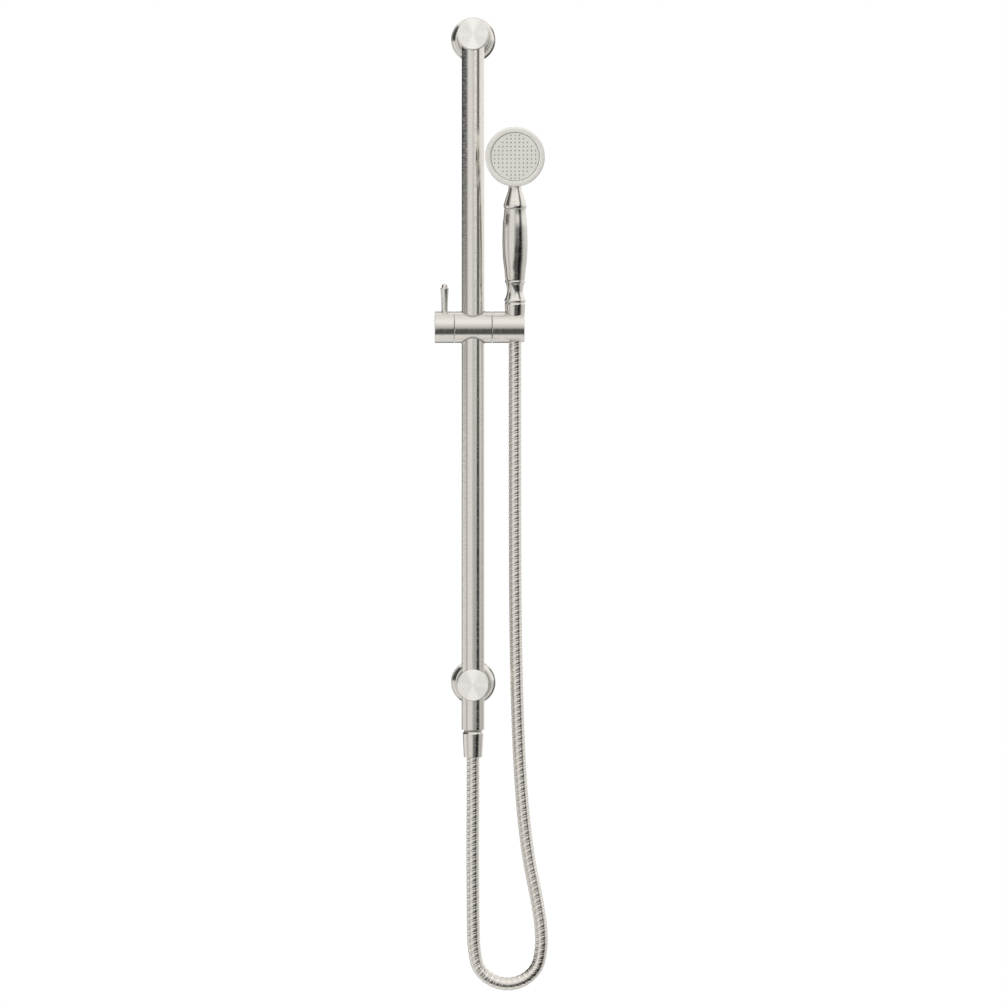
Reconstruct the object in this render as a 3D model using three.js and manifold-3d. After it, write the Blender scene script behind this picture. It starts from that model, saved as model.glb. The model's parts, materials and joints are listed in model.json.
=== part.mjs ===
// A hand shower on a slide rail, with the water outlet in the rail's lower bracket and a metal hose.
// Millimetres. +X is right, +Y runs into the wall and +Z is up. The wall is the plane y = 0, and the
// origin is the centre of the upper wall plate's back face.
import * as THREE from "three";
import { mergeVertices } from "three/addons/utils/BufferGeometryUtils.js";
import Module from "manifold-3d";

const wasm = await Module();
wasm.setup();

// ---- driving dimensions ----
const gap = 0.3; // between pieces that meet
const bracketSpacing = 718; // upper bracket to lower bracket, centre to centre
const standOff = 45; // wall to rail axis
const railRadius = 12.5;
const railWall = 1.2;
const railSocket = 9.5; // bracket centre to the end of the rail's socket
const plateRadius = 18.5;
const plateThickness = 5;
const plateScrewOffset = 14.6; // wall screw holes, either side of the plate's centre
const flangeRadius = 24.8;
const postRadius = 17.5;
const postFront = 60; // wall to the joint between post and end cap
const capFront = 63;
const capRadius = 17;
const capSpigot = 6;
const waterway = 6.5;
const stubLength = 50; // lower bracket centre to the outlet stub's lower end
const valveSeat = 8.5; // radius of the valve chamber inside the stub
const valveTop = -21; // from the lower bracket's centre
const nippleRadius = 10.2;
const nippleLength = 12.7;
const outletNeck = 2.3; // bare thread between the stub and the nut
const nutLength = 28;
const nutTopRadius = 11.45;
const nutBottomRadius = 10.05;
const hoseRadius = 7;
const hoseBore = 6; // inside of the spiral's metal
const hoseEntry = 8.5; // how far the hose reaches into its nut
const barrelRadius = 17.4; // the slider's cross barrel
const barrelLeft = -42.2;
const lockFace = -20.4; // joint between lock knob and slider body
const holderFace = 21.2; // joint between slider body and holder
const barrelRight = 57;
const sliderHeight = -322.7; // barrel axis below the upper bracket
const bushOuter = 13.5;
const bushInner = 12.6;
const bushLip = 18.4; // the bush's ends follow the barrel this far from its axis
const leverPlace = -31.4;
const leverTop = 48;
const handsetPlace = 46.5; // handset axis, right of the rail
const lean = THREE.MathUtils.degToRad(7); // the handset's top leans away from the wall
const headCentre = 188.8; // along the handset, from the barrel axis
const headRadius = 32.8;
const faceRingInner = 26.7;
const ROUND = 20; // sides of a turned piece
const SMALL = 16; // sides of a small or hidden turned piece
const TRUE = 32; // sides of the rail and its bushes, which run on each other

// The hose's centre line from the lower nut, round the loop and up to the handset's nut.
const hoseRoute = [
  [0, -45, -790],
  [0, -45, -840],
  [-0.3, -45, -895],
  [-0.1, -45, -945],
  [0.3, -45, -982],
  [1.4, -45, -1010],
  [6.3, -44.9, -1031],
  [19.8, -44.8, -1044.5],
  [38.3, -44.6, -1049.5],
  [56.8, -44.4, -1044.5],
  [70.3, -44.2, -1031],
  [75.4, -44, -1010],
  [74.8, -43.8, -984],
  [70.2, -43.4, -954],
  [62.2, -42.9, -913],
  [56.4, -42.4, -868],
  [52.4, -42, -818],
  [49.6, -41.6, -757],
  [47.8, -41.2, -690],
  [46.9, -40.8, -620],
  [46.6, -40.4, -550],
  [46.5, -40.2, -480],
  [46.5, -40.1, -425],
  [46.5, -40.6, -380],
  [46.5, -42, -352],
  [46.5, -43.9, -331.7],
  [46.5, -46.03, -314.26],
];
const hoseCuts = [0.27, 0.734, 0.871, 0.944]; // shares of its length where its five stretches meet
const hoseSteps = 72;

// ---- finishes ----
const finish = (color, roughness, metalness) => new THREE.MeshStandardMaterial({ color, roughness, metalness });
const nickel = finish(0xd8d5cf, 0.28, 1);
const brushedFace = finish(0xe4e1da, 0.4, 1);
const spiral = finish(0xc4c1bb, 0.3, 1);
const brass = finish(0xb49a5a, 0.4, 1);
const steel = finish(0x9a9a98, 0.35, 1);
const blackRubber = finish(0x1f1f1f, 0.8, 0);
const greyPlastic = finish(0x8e9092, 0.55, 0);
const whitePlastic = finish(0xdad9d4, 0.5, 0);

// ---- shapes ----
// A solid of revolution about +Z, from [radius, height] pairs that run up its outside.
function turned(profile, sides = ROUND) {
  const points = profile.map(([radius, height]) => new THREE.Vector2(radius, height));
  return new THREE.LatheGeometry(points, sides).rotateX(Math.PI / 2);
}

function rod(radius, bottom, top, sides = ROUND) {
  return turned([[0, bottom], [radius, bottom], [radius, top], [0, top]], sides);
}

function tube(outer, inner, bottom, top, sides = ROUND) {
  return turned([[outer, bottom], [outer, top], [inner, top], [inner, bottom], [outer, bottom]], sides);
}

const alongX = (geometry) => geometry.rotateY(Math.PI / 2); // +Z becomes +X
const alongY = (geometry) => geometry.rotateX(-Math.PI / 2); // +Z becomes +Y

function toSolid(geometry) {
  const bare = geometry.clone();
  bare.deleteAttribute("normal");
  bare.deleteAttribute("uv");
  const merged = mergeVertices(bare, 1e-4);
  const triVerts = new Uint32Array(merged.index.array);
  const vertProperties = merged.attributes.position.array;
  return new wasm.Manifold(new wasm.Mesh({ numProp: 3, vertProperties, triVerts }));
}

function toGeometry(solid) {
  const mesh = solid.getMesh();
  const geometry = new THREE.BufferGeometry();
  geometry.setAttribute("position", new THREE.BufferAttribute(mesh.vertProperties, 3));
  geometry.setIndex(new THREE.BufferAttribute(mesh.triVerts, 1));
  geometry.computeVertexNormals();
  return geometry;
}

function cut(geometry, ...tools) {
  return toGeometry(tools.reduce((solid, tool) => solid.subtract(toSolid(tool)), toSolid(geometry)));
}

function common(geometry, other) {
  return toGeometry(toSolid(geometry).intersect(toSolid(other)));
}

// ---- scene graph ----
const handShower = new THREE.Group();

function place(parent, x, y, z, tilt = 0) {
  const group = new THREE.Group();
  group.position.set(x, y, z);
  group.rotation.x = tilt;
  parent.add(group);
  return group;
}

function add(group, name, geometry, material) {
  const mesh = new THREE.Mesh(geometry, material);
  mesh.name = name;
  group.add(mesh);
}

// A bracket's own frame has +Z pointing out of the wall and +Y up.
const upperBracket = place(handShower, 0, 0, 0, Math.PI / 2);
const lowerBracket = place(handShower, 0, 0, -bracketSpacing, Math.PI / 2);
const rail = place(handShower, 0, -standOff, 0);
const outlet = place(handShower, 0, -standOff, -bracketSpacing);
const lowerHoseEnd = place(handShower, 0, -standOff, -bracketSpacing - stubLength - outletNeck - nutLength);
const slider = place(handShower, 0, -standOff, sliderHeight);
const handset = place(handShower, handsetPlace, -standOff, sliderHeight, lean);
const head = place(handset, 0, 0, headCentre, Math.PI / 2); // +Z is the direction that the spray face looks

// ---- wall brackets ----
function wallScrewHole(side) {
  const hole = turned([[0, -1], [2.2, -1], [2.2, 2.4], [4, 4.2], [4, 6], [0, 6]], SMALL);
  return hole.translate(0, side * plateScrewOffset, 0);
}

function wallPlate(bossRadius, bossEnd) {
  const outline = [[0, 0], [plateRadius, 0], [plateRadius, plateThickness]];
  const boss = [[bossRadius, plateThickness], [bossRadius, bossEnd], [0, bossEnd]];
  return cut(turned([...outline, ...boss]), wallScrewHole(1), wallScrewHole(-1));
}

// The cover flange: a flat rim, a hollowed step and a raised collar round the post.
function flange() {
  const bore = postRadius + gap;
  const hollow = plateRadius + 0.5;
  const hollowDepth = plateThickness + 0.6;
  return turned([
    [flangeRadius, 0], [flangeRadius, 3], [24.2, 3.8], [22.7, 4.2], [21.5, 4.9], [20.7, 6.1], [20.1, 8],
    [19.7, 10], [19, 11.2], [bore, 11.4], [bore, hollowDepth], [hollow, hollowDepth], [hollow, 0],
    [flangeRadius, 0],
  ]);
}

function endCap() {
  return turned([
    [0, 54], [capSpigot, 54], [capSpigot, postFront], [capRadius, postFront], [capRadius, capFront - 1],
    [capRadius - 0.5, capFront - 0.25], [capRadius - 1.3, capFront], [0, capFront],
  ]);
}

const postBack = plateThickness + gap;
const grubPlace = 16.5; // wall to the grub screw
const grubRadius = 2.5;

function grubScrew(inner) {
  return alongY(rod(grubRadius, -postRadius + gap, -inner, SMALL)).translate(0, 0, grubPlace);
}

// A post without its rail socket: a bar with a hole for the end cap's spigot, a bore at the wall and a
// tapped hole from below for the grub screw.
function postBlank(boreRadius, boreEnd) {
  const bar = rod(postRadius, postBack, postFront - gap);
  const spigotHole = rod(capSpigot + gap, 54 - gap, postFront + 1, SMALL);
  const wallBore = rod(boreRadius, 0, boreEnd, SMALL);
  const grubHole = alongY(rod(grubRadius + gap, -postRadius - 1, 0, SMALL)).translate(0, 0, grubPlace);
  return cut(bar, spigotHole, wallBore, grubHole);
}

// The round socket for a rail-sized tube, above (side 1) or below (side -1) the post's axis.
function railHole(side, depth) {
  const ends = side > 0 ? [depth, postRadius + 1] : [-postRadius - 1, -depth];
  return alongY(rod(railRadius + gap, ...ends)).translate(0, 0, standOff);
}

function upperBracketParts() {
  const bossRadius = 8.8;
  const bossEnd = 22;
  add(upperBracket, "upper_wall_plate", wallPlate(bossRadius, bossEnd), steel);
  add(upperBracket, "upper_flange", flange(), nickel);
  const blank = postBlank(bossRadius + gap, bossEnd + gap);
  add(upperBracket, "upper_post", cut(blank, railHole(-1, railSocket)), nickel);
  add(upperBracket, "upper_end_cap", endCap(), brushedFace);
  add(upperBracket, "upper_grub_screw", grubScrew(bossRadius + gap), steel);
}

const connectorRadius = 10.2;
const connectorBore = 6.8;
const connectorEnd = 22;
const sealThickness = 2;

function lowerBracketParts() {
  const seat = connectorEnd + sealThickness + 2 * gap;
  const plate = cut(wallPlate(0, plateThickness), rod(connectorRadius + gap, -1, plateThickness + 1));
  add(lowerBracket, "lower_wall_plate", plate, steel);
  add(lowerBracket, "lower_flange", flange(), nickel);
  const blank = postBlank(connectorRadius + gap, seat);
  const waterIn = rod(waterway, seat - 1, standOff + waterway, SMALL);
  const waterDown = alongY(rod(waterway, -postRadius - 1, 0, SMALL)).translate(0, 0, standOff);
  const stubHole = railHole(-1, postRadius - 7.2);
  const post = cut(blank, railHole(1, railSocket), stubHole, waterIn, waterDown);
  add(lowerBracket, "lower_post", post, nickel);
  add(lowerBracket, "lower_end_cap", endCap(), brushedFace);
  add(lowerBracket, "lower_grub_screw", grubScrew(connectorRadius + gap), steel);
  add(lowerBracket, "inlet_connector", tube(connectorRadius, connectorBore, 0, connectorEnd), brass);
  const sealBack = connectorEnd + gap;
  const seal = tube(connectorRadius - 0.2, connectorBore, sealBack, sealBack + sealThickness, SMALL);
  add(lowerBracket, "inlet_seal", seal, blackRubber);
}

function railTube() {
  const inner = railRadius - railWall;
  const top = -railSocket - gap;
  const bottom = -bracketSpacing + railSocket + gap;
  add(rail, "rail_tube", tube(railRadius, inner, bottom, top, TRUE), nickel);
}

// ---- the outlet below the lower bracket, with its check valve ----
function outletParts() {
  const stubTop = -postRadius + 7.2 - gap;
  const chamberTop = valveTop + gap;
  const stub = turned([
    [waterway, stubTop], [waterway, chamberTop], [valveSeat, chamberTop], [valveSeat, -stubLength],
    [railRadius - 0.4, -stubLength], [railRadius, -stubLength + 0.4], [railRadius, stubTop], [waterway, stubTop],
  ]);
  add(outlet, "outlet_stub", stub, nickel);
  const cage = valveSeat - gap;
  const cageEnd = valveTop - 13;
  const body = turned([
    [6.6, cageEnd], [cage, cageEnd], [cage, valveTop], [3.6, valveTop], [3.6, valveTop - 3],
    [6.6, valveTop - 3], [6.6, cageEnd],
  ], SMALL);
  add(outlet, "check_valve_body", body, whitePlastic);
  const discTop = valveTop - 3 - gap;
  const poppet = turned([[0, -32.5], [1.2, -32.5], [1.2, discTop - 2], [5, discTop - 2], [5, discTop], [0, discTop]], SMALL);
  add(outlet, "check_valve_poppet", poppet, whitePlastic);
  const nippleTop = cageEnd - 1;
  const springTop = discTop - 2 - gap;
  add(outlet, "check_valve_spring", tube(3.6, 2.7, nippleTop + gap, springTop, SMALL), steel);
  const threadEnd = -stubLength - gap;
  const nippleEnd = threadEnd - nippleLength;
  const nipple = turned([
    [5.5, nippleEnd], [nippleRadius - 0.5, nippleEnd], [nippleRadius, nippleEnd + 0.5], [nippleRadius, threadEnd],
    [valveSeat - gap, threadEnd], [valveSeat - gap, nippleTop], [3.2, nippleTop], [3.2, nippleTop - 3],
    [5.5, nippleTop - 5], [5.5, nippleEnd],
  ]);
  add(outlet, "outlet_nipple", nipple, brass);
}

// ---- hose ends: heights are measured from the nut's lower end ----
const washerBottom = 14.7;

function hoseNut() {
  const bore = nippleRadius + gap;
  return turned([
    [hoseRadius + 0.4, 0], [nutBottomRadius - 0.5, 0], [nutBottomRadius, 0.6], [nutTopRadius, nutLength - 0.9],
    [nutTopRadius - 0.5, nutLength - gap], [bore, nutLength - gap], [bore, 11.5], [hoseRadius + 0.4, 11.5],
    [hoseRadius + 0.4, 0],
  ]);
}

const hoseWasher = () => tube(nippleRadius, 5.5, washerBottom, washerBottom + 2.5, SMALL);

function hoseFerrule() {
  const neck = hoseRadius - 0.3;
  const flangeBottom = 12.1;
  return turned([
    [4.5, hoseEntry + gap], [neck, hoseEntry + gap], [neck, flangeBottom], [nippleRadius, flangeBottom],
    [nippleRadius, washerBottom - gap], [4.5, washerBottom - gap], [4.5, hoseEntry + gap],
  ], SMALL);
}

function lowerHoseEndParts() {
  add(lowerHoseEnd, "lower_hose_nut", hoseNut(), nickel);
  add(lowerHoseEnd, "lower_hose_washer", hoseWasher(), blackRubber);
  add(lowerHoseEnd, "lower_hose_ferrule", hoseFerrule(), brass);
}

// ---- the hose, in the five stretches that its moving ends need ----
class Stretch extends THREE.Curve {
  constructor(whole, from, to) {
    super();
    this.whole = whole;
    this.from = from;
    this.to = to;
  }
  getPoint(t) {
    return this.whole.getPointAt(THREE.MathUtils.lerp(this.from, this.to, t));
  }
}

function hoseParts() {
  const route = hoseRoute.map(([x, y, z]) => new THREE.Vector3(x, y, z));
  const whole = new THREE.CatmullRomCurve3(route, false, "centripetal");
  const half = gap / 2 / whole.getLength();
  const ends = [0, ...hoseCuts, 1];
  const section = new THREE.Shape().absarc(0, 0, hoseRadius, 0, 2 * Math.PI);
  section.holes.push(new THREE.Path().absarc(0, 0, hoseBore, 0, 2 * Math.PI, true));
  const names = ["hose_lower", "hose_riser", "hose_swing", "hose_tilt", "hose_top"];
  names.forEach((name, i) => {
    const from = ends[i] + (i > 0 ? half : 0);
    const to = ends[i + 1] - (i < names.length - 1 ? half : 0);
    const steps = Math.max(4, Math.round(hoseSteps * (to - from)));
    const extrudePath = new Stretch(whole, from, to);
    const shape = new THREE.ExtrudeGeometry(section, { steps, extrudePath, curveSegments: 4, bevelEnabled: false });
    add(handShower, name, shape, spiral);
  });
}

// ---- the slider on the rail ----
function bushHalf(side) {
  const [bottom, top] = side > 0 ? [4.3, 20] : [-20, -4.3];
  return common(tube(bushOuter, bushInner, bottom, top, TRUE), alongX(rod(bushLip, -20, 20, TRUE)));
}

const pivotBushRadius = 6;
const discRadius = 12;
const pivotRadius = 2.7;

function sliderParts() {
  add(slider, "rail_bush_upper", bushHalf(1), greyPlastic);
  add(slider, "rail_bush_lower", bushHalf(-1), greyPlastic);
  const left = lockFace + 0.2;
  const right = holderFace - 0.2;
  const body = cut(
    alongX(rod(barrelRadius, left, right, TRUE)),
    rod(bushOuter + gap, -20, 20, TRUE),
    alongX(rod(pivotBushRadius + gap, left - 1, -14.8, SMALL)),
    alongX(rod(3.9, -16, -10, SMALL)),
    alongX(rod(discRadius + gap, right - 1.1, right + 1, ROUND)),
    alongX(rod(pivotRadius + gap, 15.1, right, SMALL)),
  );
  add(slider, "slider_body", body, nickel);
  add(slider, "lock_pivot_bush", alongX(tube(pivotBushRadius, 3.9, -29, -15.1, SMALL)), brass);
  add(slider, "holder_friction_disc", alongX(tube(discRadius, pivotRadius + gap, 20.2, 22.4, ROUND)), greyPlastic);
  const screw = turned([[0, 15.4], [pivotRadius, 15.4], [pivotRadius, 30.7], [4.5, 30.7], [4.5, 33.4], [4, 34], [0, 34]], SMALL);
  add(slider, "holder_pivot_screw", alongX(screw), steel);
  add(slider, "holder_spring_washer", alongX(tube(4.4, pivotRadius + gap, 29.6, 30.4, SMALL)), steel);
}

// ---- the quarter-turn lock at the barrel's left end ----
function lockParts() {
  const right = lockFace - 0.2;
  const outer = [[0, barrelLeft], [barrelRadius - 0.6, barrelLeft], [barrelRadius, barrelLeft + 0.6]];
  const knob = cut(
    alongX(turned([...outer, [barrelRadius, right], [0, right]], TRUE)),
    alongX(rod(pivotBushRadius + gap, -29.3, -10, SMALL)),
    alongX(rod(3.4, -34.2, -10, SMALL)),
    rod(3.3, 13.7, 30, SMALL).translate(leverPlace, 0, 0),
  );
  add(slider, "lock_knob", knob, nickel);
  const lever = turned([
    [0, 14], [3, 14], [3, 17.7], [3.55, 17.7], [3.55, 22], [3.8, 30], [4.15, 37], [4.65, 42.4], [4.5, 43.2],
    [3.3, 43.6], [3.1, 44.6], [3, 45.8], [2.3, 47.2], [1.1, leverTop], [0, leverTop],
  ], SMALL);
  add(slider, "lock_lever", lever.translate(leverPlace, 0, 0), nickel);
  add(slider, "lock_plunger", alongX(rod(3, -33, -17.2, SMALL)), steel);
  add(slider, "brake_shoe", alongX(rod(3.6, -16.9, -12.8, SMALL)), greyPlastic);
}

// ---- the holder at the barrel's right end: a leaning taper for the nut, open at the end for the hose ----
function holderBody() {
  const leaning = (geometry) => geometry.rotateX(lean).translate(handsetPlace, 0, 0);
  const left = holderFace + 0.2;
  const outer = [[0, left], [barrelRadius, left], [barrelRadius, barrelRight - 0.6]];
  const slotWidth = 2 * hoseRadius + 1;
  return cut(
    alongX(turned([...outer, [barrelRadius - 0.6, barrelRight], [0, barrelRight]], TRUE)),
    leaning(turned([[0, -0.6], [10.4, -0.6], [12, 30], [0, 30]])),
    leaning(rod(hoseRadius + 1.2, -30, 1)),
    leaning(new THREE.BoxGeometry(20, slotWidth, 60).translate(10, 0, 0)),
    alongX(rod(discRadius + gap, left - 1, left + 1.3)),
    alongX(rod(pivotRadius + 2 * gap, left, 31, SMALL)),
    alongX(rod(4.8, 29.3, handsetPlace - 5, SMALL)),
  );
}

// ---- handset: heights run along its axis from the barrel's axis ----
function handleTail() {
  const bore = 5;
  return turned([
    [bore, 17.5], [nippleRadius, 17.5], [nippleRadius, 28], [11.2, 28], [11.8, 29], [11.8, 30.4], [11, 31.5],
    [10.1, 33.8], [9.2, 37], [8.85, 40.4], [9.05, 43.7], [9.75, 47], [10.9, 49.6], [11.2, 50.8], [10.9, 52],
    [10.2, 52.4], [8, 52.4], [8, 55], [6.8, 55], [6.8, 57], [8, 57], [8, 60], [bore, 60], [bore, 17.5],
  ]);
}

function handleGrip() {
  const bottom = 52.7;
  const top = 131.4;
  const socket = 8.3;
  return turned([
    [socket, bottom], [10.4, bottom], [10.9, 54.5], [11.3, 59], [11.8, 64.5], [12.6, 70], [13.2, 75.5],
    [13.6, 82], [13.9, 90], [13.92, 97], [13.75, 106], [13.5, 113.5], [12.9, 119.5], [12.2, 125.5],
    [11.85, 129.5], [11.9, top], [socket, top], [socket, 122], [11, 114], [11.6, 96], [10.6, 78],
    [socket, 63], [socket, bottom],
  ]);
}

const neckTop = 170;

function neckCone() {
  const bore = 5;
  return turned([
    [bore, 124], [8, 124], [8, 127], [6.8, 127], [6.8, 129], [8, 129], [8, 131.7], [12, 131.7], [12.5, 132.8],
    [12.6, 134.6], [12.4, 136.8], [11.8, 137.8], [11.2, 140], [9.1, 146.5], [7.9, 150], [7.2, 153.2], [7, 157],
    [7, neckTop], [bore - 0.8, neckTop], [bore - 0.8, 142], [bore, 142], [bore, 124],
  ]);
}

function headShell() {
  const shell = turned([
    [0, -9.5], [8, -9.2], [16, -7.6], [23, -4.6], [28, -0.8], [31.2, 3.4], [32.5, 6.8], [headRadius, 9.5],
    [30.2, 9.5], [29.6, 5.6], [26.4, 1.4], [22, -2], [15.5, -4.8], [7.8, -6.4], [0, -6.8],
  ]);
  const neckHole = alongY(rod(7 + gap, -60, neckTop - headCentre + gap, ROUND));
  return cut(shell, neckHole);
}

function faceRing() {
  return turned([
    [headRadius, 9.8], [headRadius, 12.4], [32.2, 13.5], [31, 14.1], [27.9, 14.1], [27, 13.6],
    [faceRingInner, 12.9], [faceRingInner, 9.8], [headRadius, 9.8],
  ]);
}

function handsetParts() {
  add(handset, "upper_hose_ferrule", hoseFerrule(), brass);
  add(handset, "upper_hose_nut", hoseNut(), nickel);
  add(handset, "upper_hose_washer", hoseWasher(), blackRubber);
  add(handset, "flow_restrictor", tube(4.7, 2, 18, 21, SMALL), whitePlastic);
  add(handset, "handle_tail", handleTail(), nickel);
  add(handset, "tail_seal", tube(8.1, 7.1, 55.3, 56.7, SMALL), blackRubber);
  add(handset, "handle_grip", handleGrip(), nickel);
  add(handset, "water_tube", tube(4.7, 3.6, 46, 140, SMALL), whitePlastic);
  add(handset, "neck_seal", tube(8.1, 7.1, 127.3, 128.7, SMALL), blackRubber);
  add(handset, "neck_cone", neckCone(), nickel);
  add(head, "head_shell", headShell(), nickel);
  add(head, "head_gasket", tube(29.3, 26.9, 7, 9.4, ROUND), blackRubber);
  add(head, "nozzle_mat", rod(26, 7.9, 10.2), blackRubber);
  add(head, "nozzle_plate", rod(faceRingInner - 0.4, 10.5, 12.9), brushedFace);
  add(head, "face_ring", faceRing(), brushedFace);
}

upperBracketParts();
lowerBracketParts();
railTube();
outletParts();
lowerHoseEndParts();
hoseParts();
sliderParts();
lockParts();
add(slider, "holder_body", holderBody(), nickel);
handsetParts();

export default handShower;
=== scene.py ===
# %% [markdown]
# # A hand shower on a slide rail
# The real object is a rail held off the wall by two brackets. A slider runs on the rail and carries
# the handset in a tilting holder. Water leaves the rail's lower bracket and climbs back up to the
# handset through a metal hose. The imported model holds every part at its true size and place, and
# this script gives each visible part its fine surface and its finish.

# %% Load the frame
import json
import math
from math import cos, pi, radians, sin, tau

import bmesh
import bpy
import numpy as np
from mathutils import Matrix, Vector


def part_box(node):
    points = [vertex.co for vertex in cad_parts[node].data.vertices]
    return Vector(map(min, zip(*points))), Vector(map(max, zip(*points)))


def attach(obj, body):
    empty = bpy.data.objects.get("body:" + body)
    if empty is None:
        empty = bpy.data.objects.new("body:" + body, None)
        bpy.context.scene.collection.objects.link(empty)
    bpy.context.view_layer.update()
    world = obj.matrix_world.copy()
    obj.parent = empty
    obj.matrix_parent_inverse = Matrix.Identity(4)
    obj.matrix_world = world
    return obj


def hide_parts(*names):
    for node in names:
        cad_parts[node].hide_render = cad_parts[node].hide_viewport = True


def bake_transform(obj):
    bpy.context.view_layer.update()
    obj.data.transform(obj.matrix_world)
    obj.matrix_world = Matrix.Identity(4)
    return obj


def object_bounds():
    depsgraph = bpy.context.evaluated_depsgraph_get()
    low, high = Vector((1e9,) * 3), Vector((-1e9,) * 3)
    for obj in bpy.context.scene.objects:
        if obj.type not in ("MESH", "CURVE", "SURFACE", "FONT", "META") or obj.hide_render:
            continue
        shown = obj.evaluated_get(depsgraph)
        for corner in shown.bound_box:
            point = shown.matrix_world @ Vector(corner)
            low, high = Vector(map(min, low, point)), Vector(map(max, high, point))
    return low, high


MM = 0.001
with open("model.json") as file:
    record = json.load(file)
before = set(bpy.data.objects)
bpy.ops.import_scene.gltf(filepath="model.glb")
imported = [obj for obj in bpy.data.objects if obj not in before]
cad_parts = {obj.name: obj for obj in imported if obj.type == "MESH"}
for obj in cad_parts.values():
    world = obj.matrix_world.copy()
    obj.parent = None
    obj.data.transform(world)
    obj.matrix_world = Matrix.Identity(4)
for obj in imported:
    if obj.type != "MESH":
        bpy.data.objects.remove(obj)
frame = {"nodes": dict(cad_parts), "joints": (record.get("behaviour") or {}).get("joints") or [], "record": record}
cad_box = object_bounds()
size = (cad_box[1] - cad_box[0]) / MM
print(f"frame: {len(frame['nodes'])} nodes, {size.x:.0f} x {size.y:.0f} x {size.z:.0f} mm")

# %% [markdown]
# ## Places taken from the frame
# Everything below hangs on a few axes: the rail, the two brackets, the slider's cross barrel and
# the handset. They could be typed in again, but reading them from the frame means that a changed
# rail or a moved slider carries its surfaces along.


# %% Axes of the object
def middle(node):
    low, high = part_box(node)
    return (low + high) / 2


def joint(name):
    return next(j for j in frame["joints"] if j["name"] == name)


rail_x, rail_y, _ = middle("rail_tube")
upper_z = middle("upper_post").z
lower_z = middle("lower_post").z
barrel_z = middle("slider_body").z
spin = joint("handset_spin")
lean = math.atan2(-spin["axis"][1], spin["axis"][2])
print(f"brackets {(upper_z - lower_z) / MM:.0f} mm apart, handset leans {math.degrees(lean):.1f} degrees")

out_of_wall = Matrix.Rotation(pi / 2, 4, "X")
along_rail = Matrix.Translation((rail_x, rail_y, 0))
upper_bracket = Matrix.Translation((rail_x, 0, upper_z)) @ out_of_wall
lower_bracket = Matrix.Translation((rail_x, 0, lower_z)) @ out_of_wall
slider_place = Matrix.Translation((rail_x, rail_y, barrel_z))
barrel = slider_place @ Matrix.Rotation(pi / 2, 4, "Y")
handset = Matrix.Translation(spin["pos_m"]) @ Matrix.Rotation(lean, 4, "X")

# %% [markdown]
# ## Camera
# A wall fitting is shown straight on, from far enough away that its sides hardly converge. A long
# lens on a level camera keeps the rail upright. The camera stands a little below the middle of the
# rail, and a small lens shift lowers the frame so that the hose's loop is inside it.

# %% Camera
eye = Vector((0.0321, -4.335, -0.4641))
camera = bpy.data.objects.new("camera", bpy.data.cameras.new("camera"))
bpy.context.collection.objects.link(camera)
camera.location = eye
camera.rotation_euler = (pi / 2, 0, 0)
camera.data.sensor_width = 36
camera.data.lens = 139
camera.data.shift_y = -0.0468
bpy.context.scene.camera = camera
print(f"camera {rail_y - eye.y:.2f} m from the rail, lens {camera.data.lens:.0f} mm")

# %% [markdown]
# ## The hose's line
# The hose hangs from the lower outlet, turns in a tight loop under its own weight and climbs to the
# handset. Its route is a smooth curve through listed points. A centripetal Catmull-Rom curve
# passes through each point without overshooting, and resampling it by length gives rings that are
# evenly spaced however the points lie.

# %% Route of the hose
HOSE_ROUTE = [
    (0, -45, -790), (0, -45, -840), (-0.3, -45, -895), (-0.1, -45, -945), (0.3, -45, -982),
    (1.4, -45, -1010), (6.3, -44.9, -1031), (19.8, -44.8, -1044.5), (38.3, -44.6, -1049.5),
    (56.8, -44.4, -1044.5), (70.3, -44.2, -1031), (75.4, -44, -1010), (74.8, -43.8, -984),
    (70.2, -43.4, -954), (62.2, -42.9, -913), (56.4, -42.4, -868), (52.4, -42, -818),
    (49.6, -41.6, -757), (47.8, -41.2, -690), (46.9, -40.8, -620), (46.6, -40.4, -550),
    (46.5, -40.2, -480), (46.5, -40.1, -425), (46.5, -40.6, -380), (46.5, -42, -352),
    (46.5, -43.9, -331.7), (46.5, -46.03, -314.26),
]
HOSE_CUTS = [0.722, 0.846, 0.944, 1]  # shares of its length where its upper stretches meet


def flowing(points, steps=6):
    """A centripetal Catmull-Rom curve through points of any dimension, as a list of points."""
    points = [np.array(p, float) for p in points]
    padded = [2 * points[0] - points[1], *points, 2 * points[-1] - points[-2]]
    line = []
    for a, b, c, d in zip(padded, padded[1:], padded[2:], padded[3:]):
        before, here, after = (math.sqrt(np.linalg.norm(q - p)) for p, q in ((a, b), (b, c), (c, d)))
        start = ((b - a) / before - (c - a) / (before + here) + (c - b) / here) * here
        end = ((c - b) / here - (d - b) / (here + after) + (d - c) / after) * here
        for t in np.arange(steps) / steps:
            bulge = (2 * b - 2 * c + start + end) * t**3 + (3 * c - 3 * b - 2 * start - end) * t**2
            line.append(b + start * t + bulge)
    return [*line, points[-1]]


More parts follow.
